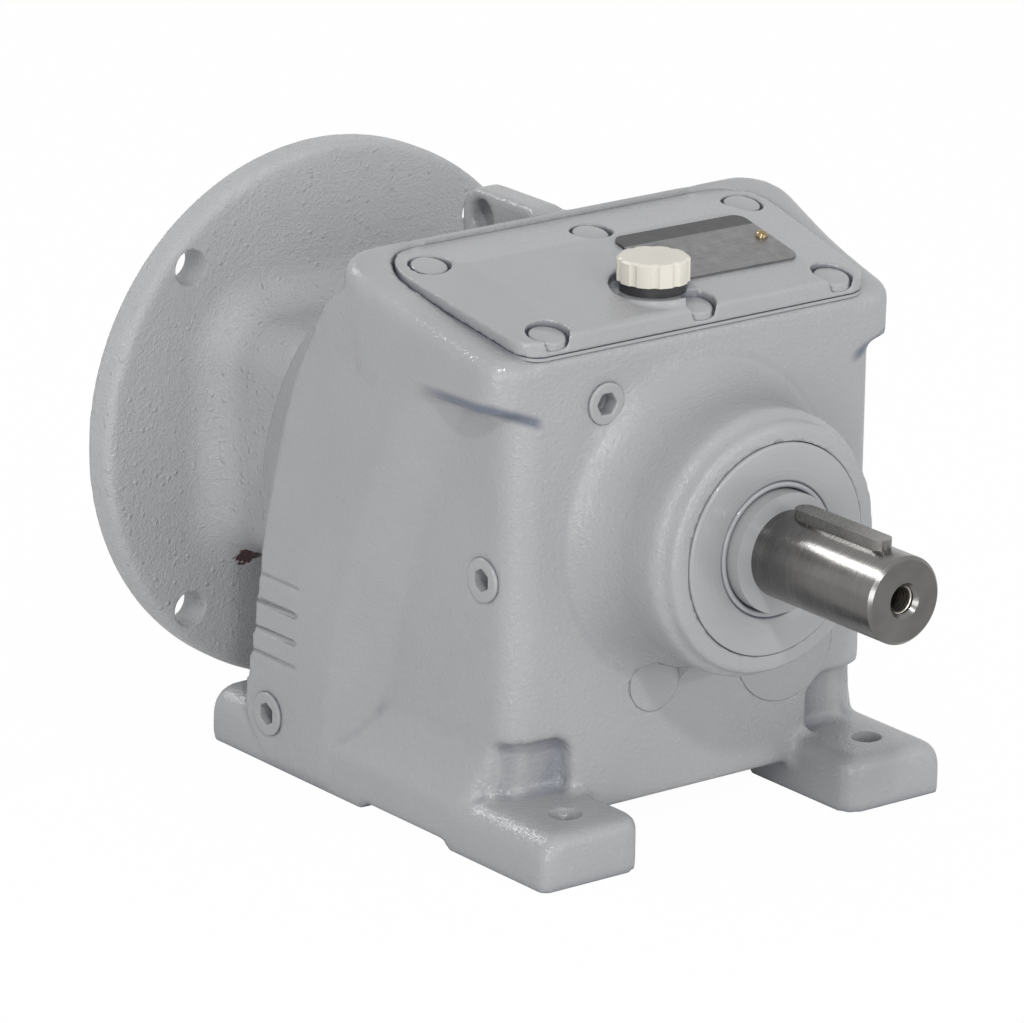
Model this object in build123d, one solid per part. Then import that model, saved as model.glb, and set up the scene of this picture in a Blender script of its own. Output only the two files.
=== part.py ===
from build123d import *
import math
import os

# Helical inline gearbox on feet, in millimetres.
# The output shaft points along -Y, +Z is up, and the origin is the centre of
# the four foot holes on the plane that the feet stand on.

# Shaft heights above the feet
shaft_height = 90.0
input_height = 78.0

# Feet
foot_length = 158.0
foot_half_width = 73.0
foot_inner_x = 37.5
foot_thickness = 16.5
foot_hole_spacing_x = 110.0
foot_hole_spacing_y = 130.0
foot_hole_radius = 4.5
foot_back_y = 81.5
foot_side_round = 8.0
foot_end_round = 4.0
foot_inner_corner = 6.0
skirt_front_round = 10.0
wrench_inner_x = 43.0
wrench_top_z = 33.5
wrench_depth = 5.5
wrench_corner = 6.0
front_foot_back_y = -33.5
rear_foot_front_y = 6.5
side_relief = 2.0
underside_z = 9.0

# Housing walls
front_wall_y = -53.0
wall_half_width = 66.0
side_half_width = 74.0
wall = 7.0
floor_top_z = 13.2
ledge_z = 131.0
front_corner_radius = 9.0
wall_back_y = 30.0

# Sloped top: rim plane through a reference point, rising to the rear
top_slope = 11.6
rim_ref_y = -18.0
rim_ref_z = 153.5
rim_back_y = 18.0
rim_front_half = 72.5
rim_back_half = 84.0
rim_low_half = 75.5
rim_back_corner = 14.0
rim_round = 5.0
rim_rise = [(-70.0, 0.0), (-34.0, 0.0), (-20.0, 0.8), (-4.0, 2.6), (13.0, 4.3), (30.0, 5.2)]
box_top_z = 175.0

# Side bulges over the intermediate gear
bulge_inner_rear = [
    (12.0, 154.0), (36.0, 139.0), (50.0, 124.5), (60.0, 106.0),
    (65.5, 86.0), (62.0, 69.0), (55.5, 50.0), (54.0, 15.0),
]
bulge_outer_rear = [
    (12.0, 154.0), (25.5, 143.0), (34.0, 129.0), (40.5, 114.0),
    (46.5, 93.0), (52.5, 71.0), (58.0, 42.0), (63.0, 15.0),
]
bulge_outer_front = [(-17.0, 131.0), (9.0, 82.0), (24.0, 14.0)]
bulge_inner_front = [(-36.0, 131.0), (-11.5, 82.0), (4.0, 14.0)]
bulge_bottom_z = 3.0
shoulder_front = (0.0, 152.5)
shoulder_lean = 11.0
groove_heights = [34.0, 41.5, 49.8, 58.2]
groove_front_y = 34.0
groove_width = 1.4
groove_depth = 1.0

# Output boss, as radius and place along the shaft
boss_face_y = -87.7
boss_ring_radius = 36.5
boss_ring_width = 4.5
boss_radius = 39.0
boss_neck_y = -70.0
boss_foot_radius = 48.5

# Rear boss that carries the adapter
rear_boss_half_width = 44.0
rear_boss_half_height = 38.0
rear_boss_corner = 15.0
rear_boss_front_y = 30.0
joint_y = 84.5

# Lifting eye
eye_half_thickness = 5.0
eye_front_y = 18.0
eye_back_y = 51.5
eye_top_z = 164.5
eye_hole_y = 42.5
eye_hole_z = 156.6
eye_hole_radius = 5.0
eye_round = 7.0

# Shaft places along Y
shoulder_y = -92.4
output_length = 50.8
output_radius = 12.7
seal_journal_radius = 17.5
collar_radius = 20.0
gear_seat_radius = 16.0
rear_journal_radius = 12.5
output_gear_front_y = -36.0
output_gear_back_y = -16.0
output_bearing_front_y = -78.0
output_bearing_rear_y = -12.5
web_front_y = -12.5
web_back_y = 4.5
tap_radius = 4.0
tap_mouth_radius = 5.2
tap_depth = 22.0
end_chamfer = 1.0

# Output key
key_size = 6.35
key_length = 38.0
key_from_shoulder = 5.0
key_sunk = 3.6

# Ball bearings, as bore, outside diameter and width
front_output_bearing = (35.0, 62.0, 14.0)
rear_output_bearing = (25.0, 52.0, 15.0)
intermediate_bearing = (15.0, 35.0, 11.0)
input_front_bearing = (20.0, 47.0, 14.0)
input_rear_bearing = (35.0, 62.0, 14.0)
ball_count = 7
ball_clearance = 0.06

# Intermediate shaft
intermediate_x = 33.5
intermediate_z = 46.3
intermediate_radius = 7.5
intermediate_seat_radius = 9.0
cap_thickness = 3.0
small_cap_radius = 8.8
small_cap_x = -14.0
small_cap_z = 44.0

# Gears
pressure_angle = 20.0
helix_angle = 14.0
output_teeth = 58
intermediate_pinion_teeth = 15
intermediate_gear_teeth = 39
input_pinion_teeth = 20
slow_shift = 0.25
flank_play = 0.16
intermediate_gear_front_y = 8.0
intermediate_gear_back_y = 24.0
pinion_overhang = 1.5
gear_room_radius = 33.5
gear_web_width = 9.0

# Rear wall of the gear chamber
rear_wall_y = 29.0
rear_bearing_wall_y = 42.0
input_pass_radius = 19.0

# Adapter
gasket_thickness = 0.5
neck_half_width = 42.0
neck_half_height = 36.5
neck_corner = 13.0
neck_fillet = 12.0
flange_radius = 82.55
flange_front_y = 119.0
motor_face_y = 130.0
flange_edge_round = 2.5
pilot_radius = 57.15
pilot_depth = 5.0
neck_room_front_y = 106.0
neck_wall = 6.0
motor_bolt_circle = 149.23
motor_bolt_radius = 5.6
spigot_radius = 33.0
spigot_play = 0.03
spigot_front_y = 47.0
adapter_screw_x = 32.0
adapter_screw_z = 25.5
adapter_screw_radius = 3.0
adapter_head_radius = 5.0
adapter_head_height = 6.0
adapter_head_seat_y = 98.0

# Input shaft
input_bore_radius = 7.94
input_bore_front_y = 72.0
input_end_y = 118.0
input_hub_radius = 17.5
input_seal_radius = 15.0
input_keyway = 4.76
input_keyway_reach = 10.2
input_neck_radius = 12.0
input_bearing_front_y = 50.0
input_bearing_rear_y = 92.0

# Cover, with heights square to the slope from the rim plane
cover_front_y = -53.0
cover_back_y = 12.5
cover_front_half = 62.0
cover_back_half = 68.0
cover_front_corner = 8.0
cover_back_corner = 16.0
cover_gap = 0.5
cover_edge_round = 3.0
cover_field_rise = 5.8
cover_field_half = 47.0
cover_field_back_y = -6.0
cover_side_tilt = 6.5
cover_rear_tilt = 9.5
cover_gasket = 0.8
cover_opening_inset = 13.0
cover_screw_rows = [(-47.4, 51.1), (-0.5, 56.5)]
cover_screw_middle_x = 1.0
cover_pocket_radius = 6.2
cover_pocket_floor = 1.6
cover_head_radius = 4.6
cover_head_height = 1.8
cover_thread_radius = 2.5
cover_thread_depth = 12.0

# Breather
breather_x = -6.0
breather_y = -38.5
breather_boss_radius = 12.5
breather_sunk = 0.4
breather_stem_radius = 4.8
breather_stem_depth = 4.8
breather_cap_radius = 10.4
breather_cap_height = 6.8
breather_ring_height = 2.9
breather_plate_play = 0.5
breather_lobes = 10

# Plate
plate_width = 46.5
plate_length = 29.0
plate_thickness = 0.8
plate_x = 24.0
plate_y = -23.6
plate_turn = -1.0
plate_corner = 3.5

# Plugs, as radius of the head
front_plug_x = -33.5
front_plug_z = 129.5
front_plug_radius = 6.2
side_plug_y = -40.0
side_plug_z = 80.5
drain_plug_y = 50.5
drain_plug_z = 16.5
side_plug_radius = 6.5
plug_hex = 6.0

run_play = 0.05
ring_thickness = 1.4
ring_groove_depth = 1.0


def round_bar(radius, y_front, y_back, x=0.0, z=0.0):
    """A cylinder along Y between two places."""
    middle = (y_front + y_back) / 2
    return Pos(x, middle, z) * Rot(90, 0, 0) * Cylinder(radius, y_back - y_front)


def tube(outer, inner, y_front, y_back, x=0.0, z=0.0):
    """A ring along Y between two places."""
    hole = round_bar(inner, y_front - 1, y_back + 1, x, z)
    return round_bar(outer, y_front, y_back, x, z) - hole


def block(x0, x1, y0, y1, z0, z1):
    """A box from its low and high corners."""
    centre = Pos((x0 + x1) / 2, (y0 + y1) / 2, (z0 + z1) / 2)
    return centre * Box(x1 - x0, y1 - y0, z1 - z0)


def mirrored(shape):
    """A shape with its twin on the other side of the shaft."""
    return shape + mirror(shape, about=Plane.YZ)


def group(solids):
    """Separate solids kept together as one piece of the assembly."""
    return Compound(children=[s for item in solids for s in item.solids()])


def tilted(v=0.0, height=0.0, x=0.0):
    """A place on the sloped top: v along the slope, height above the rim."""
    return Pos(0, rim_ref_y, rim_ref_z) * Rot(top_slope, 0, 0) * Pos(x, v, height)


def slope_v(y):
    """Distance along the slope for a plan position."""
    return (y - rim_ref_y) / math.cos(math.radians(top_slope))


def plan_outline(front_half, back_half, front_y, back_y, front_round, back_round):
    """A four-sided outline that widens to the rear, with round corners."""
    corners = [
        (-front_half, front_y),
        (front_half, front_y),
        (back_half, back_y),
        (-back_half, back_y),
    ]
    face = make_face(Polyline(*corners, close=True))
    face = fillet(face.vertices().group_by(Axis.Y)[0], front_round)
    return fillet(face.vertices().group_by(Axis.Y)[-1], back_round)


def bulge_face(front_points, rear_points):
    """Side view of a bulge between its front arc and the rear curve."""
    front = ThreePointArc(*front_points)
    rear = Spline(*rear_points)
    top = Polyline(
        front_points[0], (shoulder_front[0], front_points[0][1]), shoulder_front, rear_points[0]
    )
    bottom = Polyline(
        rear_points[-1],
        (rear_points[-1][0] - 12, bulge_bottom_z),
        (front_points[-1][0], bulge_bottom_z),
        front_points[-1],
    )
    return Plane.YZ * make_face(Curve() + [front, rear, top, bottom])


def side_bulges():
    """Both side bulges with the middle of the housing between them."""
    inner = bulge_face(bulge_inner_front, bulge_inner_rear)
    outer = bulge_face(bulge_outer_front, bulge_outer_rear)
    middle = extrude(Pos(-wall_half_width, 0, 0) * inner, 2 * wall_half_width)
    ramp = loft(
        [Pos(wall_half_width - 1, 0, 0) * inner, Pos(side_half_width, 0, 0) * outer],
        ruled=True,
    )
    reach = 12.0
    shoulder = extrude(Pos(wall_half_width, 0, 0) * outer, side_half_width + reach - wall_half_width)
    shoulder &= block(0, 100, -100, 100, ledge_z, 200)
    lean = Pos(side_half_width, 0, ledge_z) * Rot(0, shoulder_lean, 0)
    shoulder -= lean * Pos(50, 0, 0) * Box(100, 300, 300)
    return middle + mirrored(ramp + shoulder)


def sloped_prism(outline, low, high):
    """Upright walls over a plan outline, between two heights of the slope."""
    reach = 60.0
    column = extrude(Pos(0, 0, rim_ref_z - reach) * outline, 2 * reach)
    above = tilted(0, high + reach) * Box(8 * reach, 8 * reach, 2 * reach)
    below = tilted(0, low - reach) * Box(8 * reach, 8 * reach, 2 * reach)
    return column - above - below


def rim_z(y, rise=0.0):
    """Height of the sloped rim at a plan position."""
    return rim_ref_z + (y - rim_ref_y) * math.tan(math.radians(top_slope)) + rise


def upper_box():
    """Upper part of the housing, with a rim that rises beside and behind the cover."""
    low = plan_outline(
        rim_front_half, rim_low_half, front_wall_y, rim_back_y,
        front_corner_radius, rim_back_corner,
    )
    high = plan_outline(
        rim_front_half, rim_back_half, front_wall_y, rim_back_y,
        front_corner_radius, rim_back_corner,
    )
    body = loft([Pos(0, 0, ledge_z) * low, Pos(0, 0, box_top_z) * high], ruled=True)
    points = [(y, rim_z(y, rise)) for y, rise in rim_rise]
    over = Polyline(points[-1], (points[-1][0], 2 * box_top_z), (points[0][0], 2 * box_top_z), points[0])
    face = Plane.YZ * make_face(Curve() + [Spline(*points), over])
    body = body - extrude(Pos(-rim_back_half - 9, 0, 0) * face, 2 * rim_back_half + 18)
    top = body.faces().sort_by(Axis.Z)[-1]
    body = fillet(top.edges(), rim_round)
    return body + sloped_prism(cover_plan(0), -rim_round - 2, 0)


def lower_walls():
    """The narrower front walls below the upper part."""
    outline = plan_outline(
        wall_half_width, wall_half_width, front_wall_y, wall_back_y,
        front_corner_radius, 1.0,
    )
    return extrude(Pos(0, 0, underside_z) * outline, ledge_z - underside_z + 3)


def output_boss():
    """Round boss of the output bearing, flared into the front wall."""
    ring_back = boss_face_y + boss_ring_width
    profile = Polyline(
        (0, front_wall_y + 4),
        (0, boss_face_y),
        (boss_ring_radius - 1, boss_face_y),
        (boss_ring_radius, boss_face_y + 1),
        (boss_ring_radius, ring_back),
        (boss_radius, ring_back + 1.2),
        (boss_radius, boss_neck_y),
    )
    flare = TangentArc(
        (boss_radius, boss_neck_y),
        (boss_foot_radius, front_wall_y + 0.5),
        tangent=(0, 1),
    )
    close = Polyline(
        (boss_foot_radius, front_wall_y + 0.5),
        (boss_foot_radius, front_wall_y + 4),
        (0, front_wall_y + 4),
    )
    face = make_face(Curve() + [profile, flare, close])
    turned = revolve(face, Axis.Y)
    return Pos(0, 0, shaft_height) * turned


def rear_boss(half_width, half_height, corner, y0, y1):
    """A rounded square along Y around the input axis."""
    plane = Plane((0, y0, input_height), x_dir=(1, 0, 0), z_dir=(0, -1, 0))
    outline = plane * RectangleRounded(2 * half_width, 2 * half_height, corner)
    return extrude(outline, -(y1 - y0))


def lifting_eye():
    """Fin with a cross hole on the rear of the top."""
    fin = block(
        -eye_half_thickness, eye_half_thickness,
        eye_front_y, eye_back_y, 120.0, eye_top_z,
    )
    corner = fin.edges().filter_by(Axis.X).group_by(Axis.Z)[-1].sort_by(Axis.Y)[-1]
    fin = fillet(corner, eye_round)
    return fin


def eye_hole():
    """Cutter for the cross hole of the lifting eye."""
    bar = Rot(0, 90, 0) * Cylinder(eye_hole_radius, 4 * eye_half_thickness)
    return Pos(0, eye_hole_y, eye_hole_z) * bar


def foot_pad(y_wall, y_end):
    """One foot pad: outer top edge well rounded, free end rounded all round."""
    y0, y1 = min(y_wall, y_end), max(y_wall, y_end)
    middle = foot_thickness / 2
    pad = block(foot_inner_x, foot_half_width, y0, y1, 0, foot_thickness)
    inner = pad.edges().filter_by(Axis.Z).sort_by_distance((foot_inner_x, y_end, middle))[0]
    pad = fillet(inner, foot_inner_corner)
    side = pad.edges().filter_by(Axis.Y)
    pad = fillet(side.sort_by_distance((foot_half_width, 0, foot_thickness))[0], foot_side_round)
    outer = pad.edges().filter_by(Axis.Z).sort_by_distance((foot_half_width, y_end, middle))[0]
    return fillet(outer, foot_end_round)


def feet():
    """Four foot pads and the flared side skirts between them."""
    front = foot_pad(front_foot_back_y, -foot_length / 2)
    rear = foot_pad(rear_foot_front_y, foot_back_y)
    skirt_top = (wall_half_width - 2, 42.0)
    skirt_edge = (foot_half_width, foot_thickness - 3)
    base_inner = foot_inner_x
    outline = make_face(
        Curve()
        + [
            Polyline(
                skirt_edge,
                (foot_half_width, side_relief),
                (base_inner, side_relief),
                (base_inner, skirt_top[1]),
                skirt_top,
            ),
            TangentArc(skirt_top, skirt_edge, tangent=(0.1, -1)),
        ]
    )
    start = front_wall_y + front_corner_radius + 1
    plane = Plane((0, start, 0), x_dir=(1, 0, 0), z_dir=(0, -1, 0))
    end = rear_foot_front_y + 40
    skirt = extrude(plane * outline, -(end - start))
    plan = plan_outline(foot_half_width, foot_half_width, start, end, skirt_front_round, 1.0)
    skirt = skirt & extrude(plan, skirt_top[1])
    return mirrored(front + rear + skirt)


def side_grooves():
    """Cutters for the four short grooves at the rear edge of each bulge."""
    cutters = []
    half = groove_width / 2
    reach = 40.0
    for z in groove_heights:
        y0 = groove_front_y + (groove_heights[-1] - z) * 0.06
        bar = block(side_half_width - groove_depth, side_half_width + 1, y0, y0 + reach, z - half, z + half)
        cutters += [bar, mirror(bar, about=Plane.YZ)]
    return cutters


def wrench_rooms():
    """Cutters that clear a wrench above the front foot holes."""
    top = wrench_top_z
    room_back_y = front_wall_y + wrench_depth + 3
    room = block(wrench_inner_x, 90, -foot_length, room_back_y, foot_thickness, top)
    corner = room.edges().filter_by(Axis.Y).group_by(Axis.Z)[-1].sort_by(Axis.X)[0]
    room = fillet(corner, wrench_corner)
    outline = plan_outline(
        wall_half_width - 1, wall_half_width - 1, front_wall_y + wrench_depth, wall_back_y,
        front_corner_radius, 1.0,
    )
    kept = extrude(outline, top + 10)
    room = room - kept
    return [room, mirror(room, about=Plane.YZ)]


def foot_holes():
    """Cutters for the four foot holes."""
    spots = GridLocations(foot_hole_spacing_x, foot_hole_spacing_y, 2, 2)
    drill = Pos(0, 0, foot_thickness / 2) * Cylinder(foot_hole_radius, 3 * foot_thickness)
    return [spot * drill for spot in spots.local_locations]


def chamber():
    """Inside of the gear housing, in front of and behind the bearing web."""
    inner_top = 200.0
    half = wall_half_width - wall
    front = block(-half, half, front_wall_y + wall + 1.5, web_front_y, floor_top_z, inner_top)
    rear = block(-half, half, web_back_y, rear_wall_y, floor_top_z, inner_top)
    pocket = mirrored(
        round_bar(gear_room_radius, web_back_y + 1, rear_wall_y, intermediate_x, intermediate_z)
    )
    over_web = block(-half, half, web_front_y - 1, web_back_y + 1, shaft_height + 34, inner_top)
    return front + rear + pocket + over_web


def cover_plan(inset):
    """The cover's plan outline, drawn in by an inset."""
    return plan_outline(
        cover_front_half - inset, cover_back_half - inset,
        cover_front_y + inset, cover_back_y - inset,
        max(cover_front_corner - inset / 2, 2.0), max(cover_back_corner - inset / 2, 2.0),
    )


def cover_seat():
    """Cutter for the recess that the cover and its gasket lie in."""
    return sloped_prism(cover_plan(-cover_gap), -cover_gasket, 30)


def screw_spots():
    """The six cover screw places as x and y."""
    spots = []
    for y, half in cover_screw_rows:
        spots += [(-half, y), (cover_screw_middle_x, y), (half, y)]
    return spots


def on_cover(x, y, height=0.0):
    """A place on the sloped top given in plan, with the slope's own axis."""
    return tilted(slope_v(y), height, x)


def gear_housing():
    """The iron casting with its bores, seats and threads' core holes."""
    body = upper_box() + lower_walls() + side_bulges()
    body = body + output_boss() + feet() + lifting_eye()
    body = body + rear_boss(
        rear_boss_half_width, rear_boss_half_height, rear_boss_corner,
        rear_boss_front_y, joint_y,
    )
    channel = block(
        -foot_inner_x, foot_inner_x, -foot_length, foot_length, -10, underside_z,
    )
    body = body - channel
    inside = chamber()
    lid_room = extrude(Pos(0, 0, ledge_z - 20) * cover_plan(cover_opening_inset), 100)
    low_room = block(-90, 90, -90, 90, 0, ledge_z + 9)
    body = body - (inside & lid_room) - (inside & low_room)
    body = body - cover_seat()
    bores = [eye_hole()] + foot_holes() + side_grooves() + wrench_rooms()
    seal_bore = front_output_bearing[1] / 2
    bearing_back = output_bearing_front_y + front_output_bearing[2]
    bores.append(round_bar(seal_bore, boss_face_y - 1, bearing_back, 0, shaft_height))
    bores.append(round_bar(seal_bore - 4, boss_face_y, front_wall_y + 12, 0, shaft_height))
    web_ring = round_bar(rear_output_bearing[1] / 2 + 5, web_front_y, web_back_y, 0, shaft_height)
    body = body + web_ring
    bores.append(
        round_bar(
            rear_output_bearing[1] / 2, web_front_y - 1,
            output_bearing_rear_y + rear_output_bearing[2], 0, shaft_height,
        )
    )
    bores.append(round_bar(22, web_front_y, web_back_y + 1, 0, shaft_height))
    race = intermediate_bearing[1] / 2
    at = {"x": intermediate_x, "z": intermediate_z}
    front_sleeve = front_wall_y + cap_thickness + 0.5 + intermediate_bearing[2]
    body = body + round_bar(race + 4, front_wall_y + 1, front_sleeve, **at)
    bores.append(round_bar(race, front_wall_y - 1, front_sleeve + 1, **at))
    bores.append(round_bar(15, web_front_y - 1, web_back_y + 1, **at))
    bores.append(round_bar(race, rear_wall_y - 1, rear_bearing_wall_y, **at))
    bores.append(
        round_bar(small_cap_radius, front_wall_y - 1, front_wall_y + 20, small_cap_x, small_cap_z)
    )
    bores.append(round_bar(input_pass_radius, rear_wall_y - 1, joint_y, 0, input_height))
    bores.append(round_bar(spigot_radius, spigot_front_y - 1, joint_y + 1, 0, input_height))
    bores += adapter_screw_holes(adapter_screw_radius - 0.4, joint_y - 17, joint_y + 1)
    bores += plug_bores()
    bores += cover_screw_bores()
    for cutter in bores:
        body = body - cutter
    return body


def cover_screw_bores():
    """Core holes for the cover screws, square to the slope."""
    bore = Cylinder(cover_thread_radius + 0.05, 2 * cover_thread_depth)
    return [on_cover(x, y, 0) * bore for x, y in screw_spots()]


def adapter_screw_holes(radius, y0, y1):
    """Round bars at the four adapter screws."""
    return [
        round_bar(radius, y0, y1, sx * adapter_screw_x, input_height + sz * adapter_screw_z)
        for sx in (-1, 1)
        for sz in (-1, 1)
    ]


def plug_spots():
    """Place, outward turn and head radius of each plug."""
    spots = [(Pos(front_plug_x, front_wall_y, front_plug_z) * Rot(90, 0, 0), front_plug_radius)]
    for side in (-1, 1):
        turn = Rot(0, 90 * side, 0)
        spots.append((Pos(side * wall_half_width, side_plug_y, side_plug_z) * turn, side_plug_radius))
        spots.append((Pos(side * side_half_width, drain_plug_y, drain_plug_z) * turn, side_plug_radius))
    return spots


def plug_bores():
    """Spot face and threaded hole for each plug."""
    cutters = []
    for place, radius in plug_spots():
        cutters.append(place * Cylinder(radius + 0.4, 1.6))
        cutters.append(place * Pos(0, 0, -8) * Cylinder(radius - 1.8, 18))
    return cutters


def socket_plug(place, radius):
    """A flush plug with a hexagon socket."""
    stem = Pos(0, 0, -5.2) * Cylinder(radius - 1.9, 9.6)
    head = Pos(0, 0, -0.05) * Cylinder(radius, 1.4)
    head = fillet(head.edges().group_by(Axis.Z)[-1], 0.5)
    socket = extrude(Pos(0, 0, -4.5) * RegularPolygon(plug_hex / 2, 6, major_radius=False), 6)
    return place * (head + stem - socket)


# Gear teeth


def involute_angle(radius, base):
    """Angle swept by an involute from its base circle out to a radius."""
    if radius <= base:
        return 0.0
    stretch = math.sqrt((radius / base) ** 2 - 1)
    return stretch - math.atan(stretch)


def tooth_outline(teeth, pitch_radius, shift, turn):
    """Closed outline points of a whole gear at one slice."""
    module = 2 * pitch_radius / teeth
    slant = math.radians(pressure_angle)
    base = pitch_radius * math.cos(slant)
    tip = pitch_radius + module * (1 + shift) - 0.1
    root = pitch_radius - module * (1.25 - shift)
    thick = module * (math.pi / 2 + 2 * shift * math.tan(slant)) - flank_play
    half_pitch = thick / (2 * pitch_radius) + involute_angle(pitch_radius, base)
    start = max(base, root + 0.1 * module)
    steps = 3
    radii = [start + (tip - start) * i / (steps - 1) for i in range(steps)]
    flank = [(r, half_pitch - involute_angle(r, base)) for r in radii]
    root_half = flank[0][1] + 0.12 * (2 * math.pi / teeth - 2 * flank[0][1])
    side = [(root, root_half)] + flank
    one = [(r, -a) for r, a in side] + [(r, a) for r, a in reversed(side)]
    points = []
    for i in range(teeth):
        centre = turn + 2 * math.pi * i / teeth
        points += [(r * math.cos(centre + a), r * math.sin(centre + a)) for r, a in one]
    return points


def helical_gear(teeth, pitch_radius, shift, hand, phase, y_front, y_back, slices, at):
    """Toothed disc, turned slice by slice along its width."""
    lead = hand * math.tan(math.radians(helix_angle)) / pitch_radius
    middle = (y_front + y_back) / 2
    faces = []
    for i in range(slices + 1):
        y = y_front + (y_back - y_front) * i / slices
        turn = phase + lead * (y - middle)
        outline = Polyline(*tooth_outline(teeth, pitch_radius, shift, turn), close=True)
        plane = Plane((at[0], y, at[1]), x_dir=(1, 0, 0), z_dir=(0, -1, 0))
        faces.append(plane * make_face(outline))
    return loft(faces, ruled=True)


def bearing_rings(size, y_front, x, z):
    """Outer ring, inner ring and balls of a deep groove bearing."""
    bore, outside, width = size
    mid = y_front + width / 2
    pitch = (bore + outside) / 4
    ball = (outside - bore) * 0.15
    land = (outside - bore) / 2 * 0.24
    groove = Pos(x, mid, z) * Rot(90, 0, 0) * Torus(pitch, ball + ball_clearance)
    outer = tube(outside / 2, outside / 2 - land, y_front, y_front + width, x, z) - groove
    inner = tube(bore / 2 + land, bore / 2, y_front, y_front + width, x, z) - groove
    balls = []
    for i in range(ball_count):
        angle = 2 * math.pi * i / ball_count
        spot = Pos(x + pitch * math.cos(angle), mid, z + pitch * math.sin(angle))
        balls.append(spot * Sphere(ball))
    return outer, inner, balls


# Distances worked out from the shaft places

slow_centres = math.hypot(intermediate_x, shaft_height - intermediate_z)
fast_centres = math.hypot(intermediate_x, input_height - intermediate_z)
slow_teeth = output_teeth + intermediate_pinion_teeth
fast_teeth = intermediate_gear_teeth + input_pinion_teeth
output_pitch = slow_centres * output_teeth / slow_teeth
slow_pinion_pitch = slow_centres * intermediate_pinion_teeth / slow_teeth
fast_gear_pitch = fast_centres * intermediate_gear_teeth / fast_teeth
input_pitch = fast_centres * input_pinion_teeth / fast_teeth
to_output = math.atan2(shaft_height - intermediate_z, -intermediate_x)
to_input = math.atan2(input_height - intermediate_z, -intermediate_x)
output_axis = (0.0, shaft_height)
intermediate_axis = (intermediate_x, intermediate_z)
input_axis = (0.0, input_height)


def output_gear():
    """Large helical gear on the output shaft."""
    gear = helical_gear(
        output_teeth, output_pitch, -slow_shift, 1, to_output + math.pi,
        output_gear_front_y, output_gear_back_y, 4, output_axis,
    )
    gear = gear - round_bar(gear_seat_radius, -90, 90, 0, shaft_height)
    rim = output_pitch * 0.84
    hub = gear_seat_radius + 8
    face = (output_gear_back_y - output_gear_front_y - gear_web_width) / 2
    for y0 in (output_gear_front_y - 1, output_gear_back_y - face):
        gear = gear - tube(rim, hub, y0, y0 + face + 1, 0, shaft_height)
    return gear - gear_key_slot(gear_seat_radius, output_axis)


def gear_key_slot(seat, axis, width=6.0, reach=2.8):
    """Keyway cutter above a shaft seat."""
    x, z = axis
    return block(x - width / 2, x + width / 2, -60, 60, z + seat - 1, z + seat + reach)


def gear_key(seat, axis, y0, y1, width=6.0, reach=2.5):
    """Flat key half sunk in a shaft seat."""
    x, z = axis
    return block(x - width / 2, x + width / 2, y0, y1, z + seat - 3.5, z + seat + reach)


def output_shaft():
    """Stepped shaft with a keyed, tapped end."""
    tip = shoulder_y - output_length
    z = shaft_height
    bearing_back = output_bearing_front_y + front_output_bearing[2]
    shaft = round_bar(output_radius, tip, shoulder_y + 1, 0, z)
    shaft = chamfer(shaft.edges().filter_by(GeomType.CIRCLE).sort_by(Axis.Y)[0], end_chamfer)
    shaft += round_bar(seal_journal_radius, shoulder_y, bearing_back, 0, z)
    shaft += round_bar(collar_radius, bearing_back, output_gear_front_y, 0, z)
    shaft += round_bar(gear_seat_radius, output_gear_front_y, output_gear_back_y, 0, z)
    rear = output_bearing_rear_y + rear_output_bearing[2]
    shaft += round_bar(rear_journal_radius, output_gear_back_y, rear, 0, z)
    shaft -= round_bar(tap_radius, tip - 1, tip + tap_depth, 0, z)
    mouth = tap_mouth_radius - tap_radius
    cone = Pos(0, tip + mouth / 2, z) * Rot(90, 0, 0) * Cone(tap_radius, tap_mouth_radius, mouth)
    shaft -= cone
    shaft -= key_slot(0.0)
    key_y = (output_gear_front_y + 2, output_gear_back_y - 2)
    shaft -= gear_key(gear_seat_radius, output_axis, *key_y)
    return shaft


def key_slot(shrink):
    """Sunk key seat with round ends on top of the output shaft."""
    y1 = shoulder_y - key_from_shoulder
    y0 = y1 - key_length
    bottom = shaft_height + output_radius - key_sunk
    outline = SlotOverall(key_length - 2 * shrink, key_size - 2 * shrink)
    place = Pos(0, (y0 + y1) / 2, bottom + shrink) * Rot(0, 0, 90)
    return extrude(place * outline, key_size)


def intermediate_shaft():
    """Shaft with its pinion cut in one piece."""
    x, z = intermediate_axis
    front = front_wall_y + cap_thickness + 0.5
    back = rear_bearing_wall_y
    bearing = intermediate_bearing[2]
    pinion = helical_gear(
        intermediate_pinion_teeth, slow_pinion_pitch, slow_shift, -1,
        to_output - math.pi + math.pi / intermediate_pinion_teeth + math.pi,
        output_gear_front_y - pinion_overhang, output_gear_back_y + pinion_overhang,
        6, intermediate_axis,
    )
    shaft = round_bar(intermediate_radius, front, back - 1, x, z)
    pinion_back = output_gear_back_y + pinion_overhang
    shaft += pinion
    shaft += round_bar(9.3, front + bearing, output_gear_front_y - 1, x, z)
    shaft += round_bar(11.0, pinion_back - 0.5, intermediate_gear_front_y, x, z)
    shaft += round_bar(
        intermediate_seat_radius, intermediate_gear_front_y, back - 1 - bearing, x, z
    )
    key_y = (intermediate_gear_front_y + 2, intermediate_gear_back_y - 2)
    return shaft - gear_key(intermediate_seat_radius, intermediate_axis, *key_y)


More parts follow.
